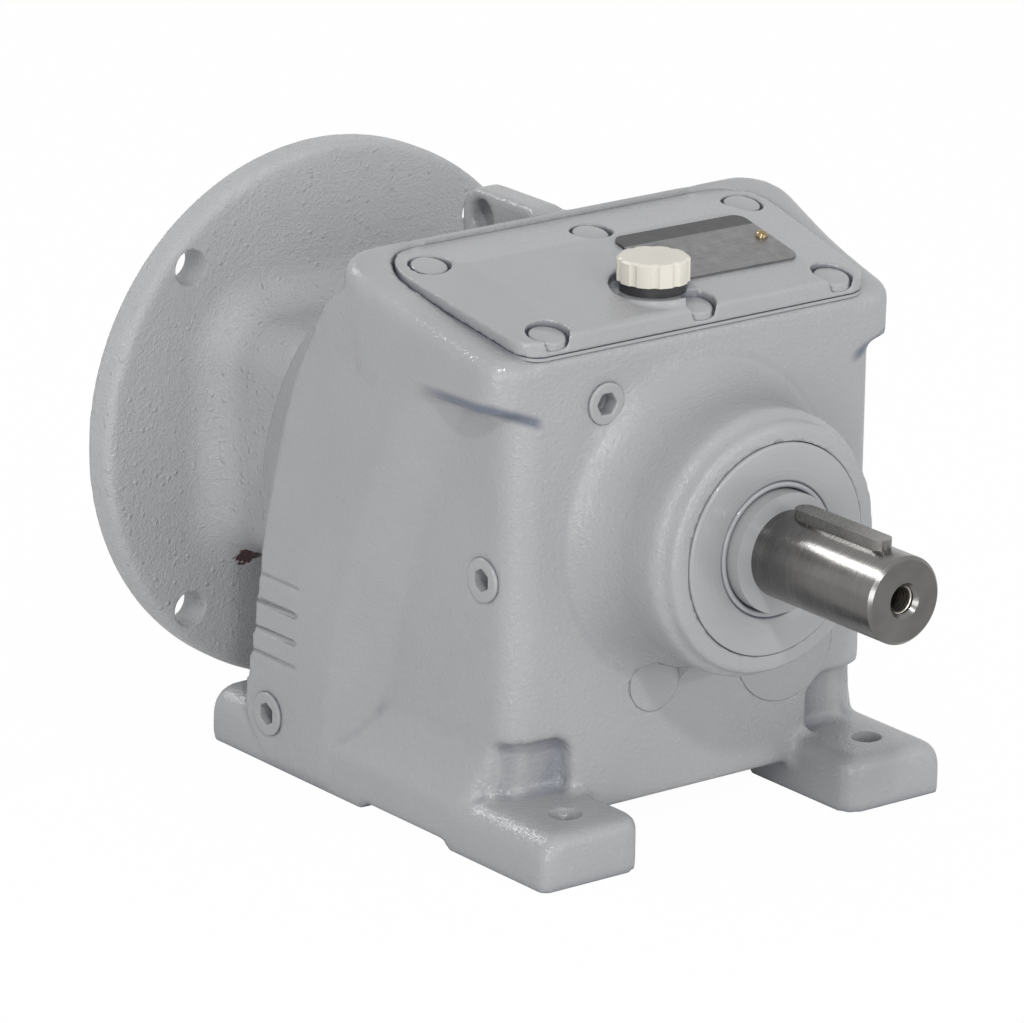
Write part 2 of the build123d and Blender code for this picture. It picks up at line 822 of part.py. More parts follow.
def intermediate_gear():
    """Helical gear pressed on the intermediate shaft."""
    gear = helical_gear(
        intermediate_gear_teeth, fast_gear_pitch, 0.0, -1, to_input,
        intermediate_gear_front_y, intermediate_gear_back_y, 3, intermediate_axis,
    )
    x, z = intermediate_axis
    gear = gear - round_bar(intermediate_seat_radius, -90, 90, x, z)
    face = 3.0
    for y0 in (intermediate_gear_front_y - 1, intermediate_gear_back_y - face):
        gear = gear - tube(
            fast_gear_pitch * 0.8, intermediate_seat_radius + 7, y0, y0 + face + 1, x, z
        )
    return gear - gear_key_slot(intermediate_seat_radius, intermediate_axis)


def input_shaft():
    """Input pinion, journals and the hollow keyed end, in one piece."""
    z = input_height
    pinion = helical_gear(
        input_pinion_teeth, input_pitch, 0.0, 1,
        to_input + math.pi + math.pi / input_pinion_teeth,
        intermediate_gear_front_y - 1, intermediate_gear_back_y + 1, 4, input_axis,
    )
    front_end = input_bearing_front_y + input_front_bearing[2]
    shaft = pinion + round_bar(
        input_neck_radius, intermediate_gear_back_y, input_bearing_front_y, 0, z
    )
    shaft += round_bar(input_front_bearing[0] / 2, input_bearing_front_y - 1, front_end, 0, z)
    shaft += round_bar(input_seal_radius, front_end, input_bearing_rear_y - 10, 0, z)
    shaft += round_bar(
        input_hub_radius + 2.5, input_bearing_rear_y - 10, input_bearing_rear_y, 0, z
    )
    shaft += round_bar(input_hub_radius, input_bearing_rear_y, input_end_y, 0, z)
    shaft -= round_bar(input_bore_radius, input_bore_front_y, input_end_y + 1, 0, z)
    ring_y = input_bearing_rear_y + input_rear_bearing[2]
    shaft -= tube(
        input_hub_radius + 1, input_hub_radius - ring_groove_depth,
        ring_y, ring_y + ring_thickness + 0.1, 0, z,
    )
    half_key = input_keyway / 2
    return shaft - block(
        -half_key, half_key, input_bore_front_y, input_end_y + 1, z, z + input_keyway_reach
    )


def adapter():
    """Motor flange, neck and spigot in one casting."""
    z = input_height
    neck_front = joint_y + gasket_thickness
    neck = rear_boss(neck_half_width, neck_half_height, neck_corner, neck_front, flange_front_y + 1)
    flange = round_bar(flange_radius, flange_front_y, motor_face_y, 0, z)
    rims = flange.edges().filter_by(GeomType.CIRCLE)
    flange = fillet(rims.sort_by(Axis.Y)[0], flange_edge_round)
    flange = chamfer(flange.edges().filter_by(GeomType.CIRCLE).sort_by(Axis.Y)[-1], 0.8)
    body = flange + neck
    seams = [
        e for e in body.edges()
        if abs(e.center().Y - flange_front_y) < 0.2 and e.bounding_box().size.Y < 0.1
        and e.bounding_box().size.X < 2 * neck_half_width + 1
        and abs(e.center().X) <= neck_half_width + 0.5
        and abs(e.center().Z - z) <= neck_half_height + 0.5
    ]
    body = fillet(seams, neck_fillet)
    body = body + round_bar(spigot_radius - spigot_play, spigot_front_y, neck_front + 1, 0, z)
    front_race = input_front_bearing[1] / 2
    rear_race = input_rear_bearing[1] / 2
    body -= round_bar(
        front_race, spigot_front_y - 1, input_bearing_front_y + input_front_bearing[2], 0, z
    )
    body -= round_bar(input_hub_radius + 4.5, spigot_front_y, neck_room_front_y, 0, z)
    body -= round_bar(rear_race, input_bearing_rear_y, neck_room_front_y + 1, 0, z)
    body -= round_bar(rear_race - 4, input_bearing_rear_y - 11, neck_room_front_y, 0, z)
    body -= rear_boss(
        neck_half_width - neck_wall, neck_half_height - neck_wall, neck_corner - neck_wall,
        neck_room_front_y, motor_face_y,
    )
    body -= round_bar(pilot_radius, motor_face_y - pilot_depth, motor_face_y + 1, 0, z)
    for hole in adapter_screw_holes(adapter_screw_radius + 0.3, joint_y - 1, neck_room_front_y):
        body -= hole
    for hole in adapter_screw_holes(
        adapter_head_radius + 0.6, adapter_head_seat_y, neck_room_front_y + 1
    ):
        body -= hole
    reach = motor_bolt_circle / 2 * math.cos(math.radians(45))
    for sx in (-1, 1):
        for sz in (-1, 1):
            body -= round_bar(
                motor_bolt_radius, flange_front_y - 20, motor_face_y + 1, sx * reach, z + sz * reach
            )
    return body


def adapter_gasket():
    """Thin gasket between the rear boss and the adapter."""
    sheet = rear_boss(
        rear_boss_half_width - 1.5, rear_boss_half_height - 2, rear_boss_corner,
        joint_y, joint_y + gasket_thickness,
    )
    sheet -= round_bar(spigot_radius + 0.3, joint_y - 1, joint_y + 2, 0, input_height)
    for hole in adapter_screw_holes(3.4, joint_y - 1, joint_y + 2):
        sheet -= hole
    return sheet


def adapter_screws():
    """Four socket screws through the neck's corners."""
    solids = []
    seat = adapter_head_seat_y
    top = seat + adapter_head_height
    shanks = adapter_screw_holes(adapter_screw_radius, joint_y + 1, seat)
    tips = adapter_screw_holes(adapter_screw_radius - 0.45, joint_y - 14, joint_y + 1)
    heads = adapter_screw_holes(adapter_head_radius, seat, top)
    sockets = adapter_screw_holes(2.6, top - 3, top + 1)
    for shank, tip, head, socket in zip(shanks, tips, heads, sockets):
        solids.append(shank + tip + head - socket)
    return group(solids)


def border_cutters():
    """Everything above the sloping side and rear borders of the cover."""
    reach = 60.0
    above = Pos(0, 0, reach) * Box(8 * reach, 8 * reach, 2 * reach)
    rear = tilted(slope_v(cover_field_back_y), cover_field_rise) * Rot(-cover_rear_tilt, 0, 0)
    right = tilted(0, cover_field_rise, cover_field_half) * Rot(0, cover_side_tilt, 0)
    left = tilted(0, cover_field_rise, -cover_field_half) * Rot(0, -cover_side_tilt, 0)
    return [place * above for place in (rear, right, left)]


def top_cover():
    """Cover with a raised field, sloping borders and six screw pockets."""
    cover = sloped_prism(cover_plan(0), 0, cover_field_rise)
    nose = tilted(slope_v(cover_front_y), cover_field_rise - cover_edge_round)
    bar = Rot(0, 90, 0) * Cylinder(cover_edge_round, 4 * cover_back_half)
    square = Pos(0, 0, cover_edge_round) * Box(4 * cover_back_half, 2 * cover_edge_round, 2 * cover_edge_round)
    cover -= nose * (square - Pos(0, cover_edge_round, 0) * bar)
    for cutter in border_cutters():
        cover -= cutter
    low = (Align.CENTER, Align.CENTER, Align.MIN)
    for x, y in screw_spots():
        cover -= on_cover(x, y, cover_pocket_floor) * Cylinder(cover_pocket_radius, 20, align=low)
    base = breather_floor()
    boss = Pos(breather_x, breather_y, base - 12) * Cylinder(breather_boss_radius, 12, align=low)
    under = tilted(0, -50) * Box(300, 300, 100)
    cover += boss - under
    cover -= Pos(breather_x, breather_y, base) * Cylinder(breather_boss_radius, 20, align=low)
    cover -= Pos(breather_x, breather_y, base) * Cylinder(breather_stem_radius + 0.1, 60)
    for x, y in screw_spots():
        cover -= on_cover(x, y, cover_pocket_floor) * Cylinder(cover_head_radius + 0.3, 20, align=low)
        cover -= on_cover(x, y, 0) * Cylinder(cover_thread_radius + 0.4, 30)
    return cover


def breather_floor():
    """Height of the flat seat under the breather."""
    return on_cover(breather_x, breather_y, cover_field_rise).position.Z - breather_sunk


def cover_gasket_sheet():
    """Gasket that follows the cover's edge."""
    sheet = sloped_prism(cover_plan(0), -cover_gasket, 0)
    sheet -= extrude(Pos(0, 0, ledge_z) * cover_plan(cover_opening_inset), 60)
    for x, y in screw_spots():
        sheet -= on_cover(x, y, 0) * Cylinder(cover_thread_radius + 0.6, 6)
    return sheet


def cover_screws():
    """Six low-headed socket screws square to the slope."""
    solids = []
    low = (Align.CENTER, Align.CENTER, Align.MIN)
    high = (Align.CENTER, Align.CENTER, Align.MAX)
    for x, y in screw_spots():
        head = Cylinder(cover_head_radius, cover_head_height, align=low)
        shank = Cylinder(cover_thread_radius, cover_thread_depth - 1, align=high)
        socket = extrude(Pos(0, 0, 0.6) * RegularPolygon(2.0, 6, major_radius=False), 3)
        solids.append(on_cover(x, y, cover_pocket_floor) * (head + shank - socket))
    return group(solids)


def breather_cap():
    """Lobed cap of the breather, hollow from below."""
    outline = Circle(breather_cap_radius)
    for i in range(breather_lobes):
        angle = 2 * math.pi * (i + 0.5) / breather_lobes
        reach = breather_cap_radius + 1.3
        outline -= Pos(reach * math.cos(angle), reach * math.sin(angle)) * Circle(1.9)
    cap = extrude(outline, breather_cap_height)
    cap = chamfer(cap.faces().sort_by(Axis.Z)[-1].edges(), 0.7)
    cap -= Cylinder(breather_cap_radius - 2.4, 2 * (breather_cap_height - 2.8))
    return Pos(breather_x, breather_y, breather_floor() + breather_ring_height + 0.1) * cap


def breather_stem():
    """Stem of the breather, screwed into the cover."""
    high = (Align.CENTER, Align.CENTER, Align.MAX)
    low = (Align.CENTER, Align.CENTER, Align.MIN)
    stem = Cylinder(breather_stem_radius, breather_stem_depth, align=high)
    stem += Cylinder(breather_cap_radius - 2.6, 6.6, align=low)
    stem -= Cylinder(1.6, 40)
    return Pos(breather_x, breather_y, breather_floor()) * stem


def breather_ring():
    """Black sealing ring under the breather cap."""
    base = breather_floor()
    low = (Align.CENTER, Align.CENTER, Align.MIN)
    ring = Cylinder(breather_cap_radius - 0.9, breather_ring_height, align=low)
    ring -= Cylinder(breather_cap_radius - 2.3, 4 * breather_ring_height)
    return Pos(breather_x, breather_y, base) * ring


def type_plate():
    """Blank metal plate riveted to the cover."""
    face = RectangleRounded(plate_width, plate_length, plate_corner)
    sheet = extrude(plate_place() * face, plate_thickness)
    for spot in rivet_spots():
        sheet -= spot * Cylinder(1.1, 6)
    cap_room = Cylinder(breather_cap_radius + breather_plate_play, 60)
    return sheet - Pos(breather_x, breather_y, breather_floor()) * cap_room


def plate_place():
    """Where the plate lies on the cover's field."""
    return on_cover(plate_x, plate_y, cover_field_rise) * Rot(0, 0, plate_turn)


def rivet_spots():
    """Places of the two rivets."""
    reach = plate_width / 2 - 3.2
    return [plate_place() * Pos(side * reach, 0, plate_thickness) for side in (-1, 1)]


def plate_rivets():
    """Two round-headed rivets."""
    solids = []
    for spot in rivet_spots():
        head = Sphere(1.9) - Pos(0, 0, -5) * Box(10, 10, 10)
        solids.append(spot * (head + Pos(0, 0, -plate_thickness / 2) * Cylinder(1.0, plate_thickness)))
    return group(solids)


def output_seal():
    """Lip seal, a flat ring with a raised lip."""
    outside = front_output_bearing[1] / 2
    y0 = boss_face_y + 0.7
    seal = tube(outside, collar_radius + 0.5, y0, y0 + 7.5, 0, shaft_height)
    lip = tube(collar_radius + 1, seal_journal_radius + run_play, y0 - 1.4, y0 + 4, 0, shaft_height)
    return seal + lip


def input_seal():
    """Lip seal between the gear chamber and the motor side."""
    y0 = input_bearing_front_y + input_front_bearing[2] + 1
    return tube(input_hub_radius + 4.5, input_seal_radius + run_play, y0, y0 + 7, 0, input_height)


def snap_ring(radius, y0, axis, outward=True):
    """Open retaining ring."""
    x, z = axis
    inner = radius - 1.0 if outward else radius - 3.0
    outer = radius + 2.2 if outward else radius
    ring = tube(outer, inner, y0, y0 + 1.4, x, z)
    return ring - block(x - 2.5, x + 2.5, y0 - 1, y0 + 3, z, z + outer + 2)


def write(name, shape):
    """Save one piece under its node's name."""
    export_step(shape, os.path.join("parts", name + ".step"))


def main():
    """Build and save every piece."""
    os.makedirs("parts", exist_ok=True)
    write("gear_housing", gear_housing())
    write("top_cover", top_cover())
    write("cover_gasket", cover_gasket_sheet())
    write("cover_screws", cover_screws())
    write("breather_cap", breather_cap())
    write("breather_stem", breather_stem())
    write("breather_ring", breather_ring())
    write("type_plate", type_plate())
    write("plate_rivets", plate_rivets())
    plugs = [socket_plug(place, radius) for place, radius in plug_spots()]
    write("front_level_plug", plugs[0])
    write("side_level_plugs", group([plugs[1], plugs[3]]))
    write("drain_plugs", group([plugs[2], plugs[4]]))
    cap_at = {"x": intermediate_x, "z": intermediate_z}
    race = intermediate_bearing[1] / 2
    write("large_bore_cap", round_bar(race, front_wall_y, front_wall_y + cap_thickness, **cap_at))
    small_back = front_wall_y + cap_thickness + 5
    write(
        "small_bore_cap",
        round_bar(small_cap_radius, front_wall_y, small_back, small_cap_x, small_cap_z),
    )
    write("output_shaft", output_shaft())
    write("output_key", key_slot(0.0))
    write("output_gear", output_gear())
    key_y = (output_gear_front_y + 2, output_gear_back_y - 2)
    write("output_gear_key", gear_key(gear_seat_radius, output_axis, *key_y))
    gap = (output_gear_back_y, output_bearing_rear_y)
    write(
        "output_spacer",
        tube(rear_journal_radius + 4, rear_journal_radius, *gap, 0, shaft_height),
    )
    write("output_seal", output_seal())
    save_bearing("output_front_bearing", front_output_bearing, output_bearing_front_y, output_axis)
    save_bearing("output_rear_bearing", rear_output_bearing, output_bearing_rear_y, output_axis)
    front = front_wall_y + cap_thickness + 0.5
    back = rear_bearing_wall_y - 1 - intermediate_bearing[2]
    save_bearing("intermediate_front_bearing", intermediate_bearing, front, intermediate_axis)
    save_bearing("intermediate_rear_bearing", intermediate_bearing, back, intermediate_axis)
    save_bearing("input_front_bearing", input_front_bearing, input_bearing_front_y, input_axis)
    save_bearing("input_rear_bearing", input_rear_bearing, input_bearing_rear_y, input_axis)
    write("intermediate_shaft", intermediate_shaft())
    write("intermediate_gear", intermediate_gear())
    key_y = (intermediate_gear_front_y + 2, intermediate_gear_back_y - 2)
    write("intermediate_gear_key", gear_key(intermediate_seat_radius, intermediate_axis, *key_y))
    write("input_shaft", input_shaft())
    write("input_seal", input_seal())
    ring_y = input_bearing_rear_y + input_rear_bearing[2]
    write("input_retaining_ring", snap_ring(input_hub_radius, ring_y, input_axis))
    write("adapter", adapter())
    write("adapter_gasket", adapter_gasket())
    write("adapter_screws", adapter_screws())


def save_bearing(name, size, y_front, axis):
    """Save one bearing as its outer ring and its turning parts."""
    outer, inner, balls = bearing_rings(size, y_front, *axis)
    write(name + "_outer_ring", outer)
    write(name + "_inner_ring", inner)
    write(name + "_balls", group(balls))


main()
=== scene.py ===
import math
import bmesh
import bpy
import numpy as np
from mathutils import Matrix, Vector


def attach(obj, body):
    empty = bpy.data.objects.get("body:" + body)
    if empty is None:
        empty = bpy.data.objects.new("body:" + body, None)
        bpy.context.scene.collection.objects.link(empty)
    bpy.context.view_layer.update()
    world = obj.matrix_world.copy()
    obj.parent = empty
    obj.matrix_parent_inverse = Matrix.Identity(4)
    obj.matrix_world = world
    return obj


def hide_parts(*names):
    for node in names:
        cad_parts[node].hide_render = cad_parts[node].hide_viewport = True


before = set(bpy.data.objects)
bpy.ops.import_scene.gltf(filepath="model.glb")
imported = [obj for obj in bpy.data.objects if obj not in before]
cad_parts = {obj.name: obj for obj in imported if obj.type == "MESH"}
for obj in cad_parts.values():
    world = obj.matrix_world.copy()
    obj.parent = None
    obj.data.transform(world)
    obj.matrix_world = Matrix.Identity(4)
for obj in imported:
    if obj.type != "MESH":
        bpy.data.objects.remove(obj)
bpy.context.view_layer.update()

MM = 0.001


# Camera: a long lens from the front left and above, as in the photograph.
# The frame is square within a pixel, so one focal length serves both ways.
# It only moves and turns; there is no depth of field.
photo_camera = bpy.data.cameras.new("photo_camera")
photo_camera.sensor_width = 36.0
photo_camera.lens = 266.38
photo_camera.shift_x = -0.01076
photo_camera.shift_y = -0.01119
photo_camera.clip_start = 0.1
photo_camera.clip_end = 60.0
camera_stand = bpy.data.objects.new("camera_stand", photo_camera)
bpy.context.scene.collection.objects.link(camera_stand)
camera_stand.matrix_world = Matrix((
    (0.79067303, 0.17618118, -0.5863415, -1.290375),
    (-0.612036, 0.25209184, -0.74957431, -1.622931),
    (0.01575103, 0.95153029, 0.30715144, 0.750020),
    (0.0, 0.0, 0.0, 1.0),
))
bpy.context.scene.camera = camera_stand


# Floor and light: a white table with a shallow step down behind the feet, because the motor
# flange reaches a little below the foot plane. A white room lights everything evenly, two wide
# lamps stand in front and to the left, and two small ones give the paint and steel their glints.
def add_node(tree, kind, settings=None, **inputs):
    """A shader node with its settings and input values; i0, i1 and so on are inputs by number."""
    made = tree.nodes.new("ShaderNode" + kind)
    for key, value in (settings or {}).items():
        setattr(made, key, value)
    for key, value in inputs.items():
        by_number = key[0] == "i" and key[1:].isdigit()
        socket = made.inputs[int(key[1:]) if by_number else key.replace("_", " ")]
        if isinstance(value, bpy.types.NodeSocket):
            tree.links.new(value, socket)
        else:
            socket.default_value = value
    return made


def figure(tree, operation, *values):
    """The result of a Math node."""
    inputs = {f"i{k}": value for k, value in enumerate(values)}
    return add_node(tree, "Math", {"operation": operation}, **inputs).outputs[0]


def spread(tree, value, low, high, to_low=0.0, to_high=1.0, curve="LINEAR"):
    """A value carried from one range to another and held at both ends."""
    return add_node(tree, "MapRange", {"interpolation_type": curve}, Value=value, From_Min=low,
                    From_Max=high, To_Min=to_low, To_Max=to_high).outputs[0]


def bare_material(name):
    """A material with an empty node tree, the tree and its output's surface socket."""
    made = bpy.data.materials.new(name)
    made.use_nodes = True
    tree = made.node_tree
    tree.nodes.clear()
    return made, tree, tree.nodes.new("ShaderNodeOutputMaterial").inputs["Surface"]


def place(mesh_maker, name):
    """A new object from a bmesh, at the origin, with its faces turned outwards."""
    bmesh.ops.recalc_face_normals(mesh_maker, faces=mesh_maker.faces[:])
    mesh = bpy.data.meshes.new(name)
    mesh_maker.to_mesh(mesh)
    mesh_maker.free()
    made = bpy.data.objects.new(name, mesh)
    bpy.context.scene.collection.objects.link(made)
    return made


table_half = 3.0
step_front, step_length, step_drop = 0.088, 0.022, 0.007
table = bmesh.new()
bmesh.ops.create_grid(table, x_segments=60, y_segments=240, size=table_half)
for v in table.verts:
    way = min(max((v.co.y - step_front) / step_length, 0.0), 1.0)
    v.co.z = -step_drop * way * way * (3 - 2 * way)
table_top = place(table, "table_top")
white, tree, surface = bare_material("white_table")
lit = add_node(tree, "BsdfDiffuse", Color=(0.86, 0.86, 0.86, 1))
glow = add_node(tree, "Emission", Color=(1, 1, 1, 1), Strength=1.0)
path = add_node(tree, "LightPath")
share = figure(tree, "MULTIPLY", path.outputs["Is Camera Ray"], 0.98)
both = add_node(tree, "MixShader", i0=share, i1=lit.outputs[0], i2=glow.outputs[0])
tree.links.new(both.outputs[0], surface)
table_top.data.materials.append(white)

room_light = 0.73
room = bpy.data.worlds.new("white_room")
room.use_nodes = True
tree = room.node_tree
tree.nodes.clear()
surface = tree.nodes.new("ShaderNodeOutputWorld").inputs["Surface"]
path = add_node(tree, "LightPath")
seen = figure(tree, "MAXIMUM", path.outputs["Is Camera Ray"], path.outputs["Is Transmission Ray"])
seen = figure(tree, "MAXIMUM", seen, path.outputs["Is Glossy Ray"])
level = spread(tree, seen, 0.0, 1.0, room_light, 1.0)
sky = add_node(tree, "Background", Color=(1, 1, 1, 1), Strength=level)
tree.links.new(sky.outputs[0], surface)
bpy.context.scene.world = room


def hang_lamp(name, at, aim, width, power):
    """A square area lamp at a place, turned to what it lights."""
    lamp = bpy.data.lights.new(name, "AREA")
    lamp.size = width
    lamp.energy = power
    stand = bpy.data.objects.new(name, lamp)
    stand.location = at
    stand.rotation_euler = (Vector(aim) - Vector(at)).to_track_quat("-Z", "Y").to_euler()
    bpy.context.scene.collection.objects.link(stand)
    return stand


unit_middle = (0, 0.05, 0.08)
hang_lamp("front_lamp", (0.5, -2.0, 0.3), unit_middle, 1.2, 9.5)
hang_lamp("left_lamp", (-1.5, -1.5, 0.3), unit_middle, 0.9, 12.5)
hang_lamp("glint_lamp", (-0.8, -1.3, 1.42), (0, 0, 0.08), 0.12, 11.0)
rear_lamp = hang_lamp("rear_lamp", (-0.64, 1.45, 1.4), (0, -0.1, 0.1), 0.4, 11.0)
rear_lamp.visible_diffuse = False
view_settings = bpy.context.scene.view_settings
view_settings.view_transform = "Standard"


# Gear housing: one grey iron sand casting with soft edges, machined only at its bores and seats.
# It is sprayed over with light grey gloss paint, together with its screws and caps.
# The bores on show are cut after the soft skin is made, so that their edges stay sharp.
def merged_bmesh(*nodes):
    """A bmesh of one or more CAD nodes with their loose triangles joined."""
    made = bmesh.new()
    for name in nodes:
        made.from_mesh(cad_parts[name].data)
    bmesh.ops.remove_doubles(made, verts=made.verts[:], dist=2e-6)
    return made


def shade_smooth(made):
    """Smooths the shading of all faces."""
    for face in made.data.polygons:
        face.use_smooth = True
    return made


def settle(made):
    """Bakes an object's modifiers into its mesh."""
    bpy.context.view_layer.update()
    graph = bpy.context.evaluated_depsgraph_get()
    baked = bpy.data.meshes.new_from_object(made.evaluated_get(graph))
    made.modifiers.clear()
    made.data = baked
    baked.materials.clear()
    return shade_smooth(made)


def bend_of(made, full_bend=0.11 * MM):
    """Marks where a skin is hollow, from 0 to 1, or sharp, down to -1, as an attribute."""
    mesh = made.data
    count = len(mesh.vertices)
    place_of = np.empty(count * 3)
    facing = np.empty(count * 3)
    ends = np.empty(len(mesh.edges) * 2, int)
    mesh.vertices.foreach_get("co", place_of)
    mesh.vertices.foreach_get("normal", facing)
    mesh.edges.foreach_get("vertices", ends)
    place_of, facing, ends = place_of.reshape(-1, 3), facing.reshape(-1, 3), ends.reshape(-1, 2)
    degree = np.bincount(ends.ravel(), minlength=count)

    def around(values):
        total = np.bincount(ends[:, 0], values[ends[:, 1]], count)
        return (total + np.bincount(ends[:, 1], values[ends[:, 0]], count)) / degree

    pull = np.stack([around(place_of[:, axis]) for axis in range(3)], 1) - place_of
    bend = (pull * facing).sum(1) / full_bend
    for _ in range(3):
        bend = (bend + around(bend)) / 2
    mark = mesh.attributes.new("bend", "FLOAT", "POINT")
    mark.data.foreach_set("value", np.clip(bend, -1, 1).astype(np.float32))


def cast_skin(start, name, grain, passes, triangles, hidden=None):
    """Turns a sharp solid into a softly rounded casting, thinned where it is hidden."""
    made = place(start, name)
    skin = made.modifiers.new("skin", "REMESH")
    skin.mode = "VOXEL"
    skin.voxel_size = grain
    soft = made.modifiers.new("soft", "SMOOTH")
    soft.factor = 0.5
    soft.iterations = passes
    settle(made)
    count = 2 * len(made.data.polygons)
    if count > triangles:
        thin = made.modifiers.new("thin", "DECIMATE")
        thin.ratio = triangles / count
        if hidden:
            inside = made.vertex_groups.new(name="inside")
            inside.add([v.index for v in made.data.vertices if hidden(*v.co)], 1.0, "REPLACE")
            thin.vertex_group = "inside"
        settle(made)
        made.vertex_groups.clear()
    bend_of(made)
    return made


def round_bar(made, radius, middle, length, turn=Matrix(), sides=96):
    """Adds a round bar to a bmesh, in millimetres, upright unless it is turned."""
    spot = Matrix.Translation([c * MM for c in middle]) @ turn
    bmesh.ops.create_cone(made, cap_ends=True, segments=sides, radius1=radius * MM,
                          radius2=radius * MM, depth=length * MM, matrix=spot)


def lying_bar(made, radius, y_front, y_back, x=0.0, z=0.0, sides=96):
    """Adds a round bar along Y to a bmesh."""
    turn = Matrix.Rotation(math.pi / 2, 4, "X")
    round_bar(made, radius, (x, (y_front + y_back) / 2, z), y_back - y_front, turn, sides)


def standing_bar(made, radius, x, y, z_low, z_high):
    """Adds an upright round bar to a bmesh."""
    round_bar(made, radius, (x, y, (z_low + z_high) / 2), z_high - z_low, sides=64)


def crease_bar(made, x, y_front, y_back, z, half=1.0, tip=3.0, lift=0.6):
    """Adds a square bar along Y to a bmesh, standing on its edge, with a pointed front end."""
    older = set(made.faces)
    lying_bar(made, half, y_front + tip, y_back, x, z, 4)
    front = min(set(made.faces) - older, key=lambda face: face.calc_center_median().y)
    point = bmesh.ops.poke(made, faces=[front])["verts"][0]
    point.co = Vector((x + math.copysign(lift, x), y_front, z)) * MM


def cut_away(made, cutter):
    """Takes the solids of a bmesh out of an object."""
    tool = place(cutter, "cutter")
    cut = made.modifiers.new("cut", "BOOLEAN")
    cut.operation = "DIFFERENCE"
    cut.solver = "EXACT"
    cut.object = tool
    settle(made)
    bpy.data.objects.remove(tool)
    return made


front_bores = [  # x, z, radius and the Y of the face they open on
    (33.5, 46.3, 17.5, -53.0), (-14.0, 44.0, 8.8, -53.0), (0.0, 90.0, 31.0, -87.7),
]
bore_gap = 0.15
foot_holes = [(x, y) for x in (-55, 55) for y in (-65, 65)]
foot_hole_radius = 4.5
foot_height = 16.5
side_half_width = 74.0
groove_heights = (34.0, 41.5, 49.8, 58.2)
groove_front, groove_lean, groove_back = 34.0, 0.06, 76.0

casting = merged_bmesh("gear_housing")
for x, z, radius, wall_y in front_bores:
    lying_bar(casting, radius + 1.5, wall_y, wall_y + 5, x, z)
for x, y in foot_holes:
    standing_bar(casting, foot_hole_radius + 1, x, y, 0.0, foot_height)


def in_chamber(x, y, z):
    """True for the walls of the gear chamber, in metres."""
    main = abs(x) < 0.062 and -0.0495 < y < 0.042 and 0.0115 < z < 0.138
    return main or (abs(x) < 0.0674 and 0.005 < y < 0.0293 and 0.012 < z < 0.082)


housing_casting = cast_skin(casting, "housing_casting", 1.45 * MM, 4, 188000, in_chamber)
cuts = bmesh.new()
for x, z, radius, wall_y in front_bores:
    lying_bar(cuts, radius + bore_gap, wall_y - 6, wall_y + 6, x, z)
for x, y in foot_holes:
    standing_bar(cuts, foot_hole_radius, x, y, -3.0, foot_height + 3.5)
for height in groove_heights:
    start = groove_front + (groove_heights[-1] - height) * groove_lean
    for side_x in (-side_half_width, side_half_width):
        crease_bar(cuts, side_x, start, groove_back, height)
cut_away(housing_casting, cuts)
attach(housing_casting, "housing")
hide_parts("gear_housing")


def effect_group(name, inputs, outputs):
    """An empty shader node group, with its input values and its output sockets."""
    group = bpy.data.node_groups.new(name, "ShaderNodeTree")
    for label, kind, value in inputs:
        socket = group.interface.new_socket(label, in_out="INPUT", socket_type="NodeSocket" + kind)
        socket.default_value = value
    for label, kind in outputs:
        group.interface.new_socket(label, in_out="OUTPUT", socket_type="NodeSocket" + kind)
    given = group.nodes.new("NodeGroupInput").outputs
    return group, given, group.nodes.new("NodeGroupOutput").inputs


def object_spot(tree):
    """The place on the piece, in metres."""
    return add_node(tree, "TexCoord").outputs["Object"]


def scaled(tree, color, factor):
    """A colour made lighter or darker."""
    return add_node(tree, "VectorMath", {"operation": "SCALE"}, i0=color, Scale=factor).outputs[0]


def mixed(tree, share, first, second):
    """Two colours mixed by a share."""
    made = add_node(tree, "Mix", {"data_type": "RGBA"}, Factor=share, i6=first, i7=second)
    return made.outputs[2]


def cast_paint_group():
    """Gloss paint over sand-cast iron: its mottled colour, roughness and height."""
    group, given, result = effect_group(
        "cast_paint",
        [("Tint", "Color", (0.36, 0.365, 0.37, 1)), ("Sand", "Float", 1.0),
         ("Peel", "Float", 1.0), ("Specks", "Float", 0.3)],
        [("Color", "Color"), ("Roughness", "Float"), ("Height", "Float")])
    spot = object_spot(group)
    sand = add_node(group, "TexNoise", Vector=spot, Scale=1700.0, Detail=2.0, Roughness=0.6)
    peel = add_node(group, "TexNoise", Vector=spot, Scale=720.0, Detail=2.0, Roughness=0.5)
    cloud = add_node(group, "TexNoise", Vector=spot, Scale=30.0, Detail=3.0, Roughness=0.55)
    dots = add_node(group, "TexVoronoi", Vector=spot, Scale=430.0)
    lot = add_node(group, "SeparateColor", i0=dots.outputs["Color"])
    dot = spread(group, dots.outputs["Distance"], 0.42, 0.12, curve="SMOOTHSTEP")
    speck = figure(group, "MULTIPLY", dot, spread(group, lot.outputs[0], 0.55, 0.9))
    speck = figure(group, "MULTIPLY", speck, given["Specks"])
    low = figure(group, "MULTIPLY", sand.outputs["Fac"], given["Sand"])
    high = figure(group, "MULTIPLY", peel.outputs["Fac"], given["Peel"])
    height = figure(group, "ADD", figure(group, "ADD", low, high), speck)
    lift = spread(group, cloud.outputs["Fac"], 0.3, 0.7, 0.97, 1.03)
    group.links.new(scaled(group, given["Tint"], lift), result["Color"])
    gloss = spread(group, cloud.outputs["Fac"], 0.3, 0.7, 0.13, 0.22)
    group.links.new(gloss, result["Roughness"])
    group.links.new(height, result["Height"])
    return group


# The bluish colour of the painted shade in creases and under ledges.
crease_shade_blue = (0.075, 0.095, 0.14, 1)


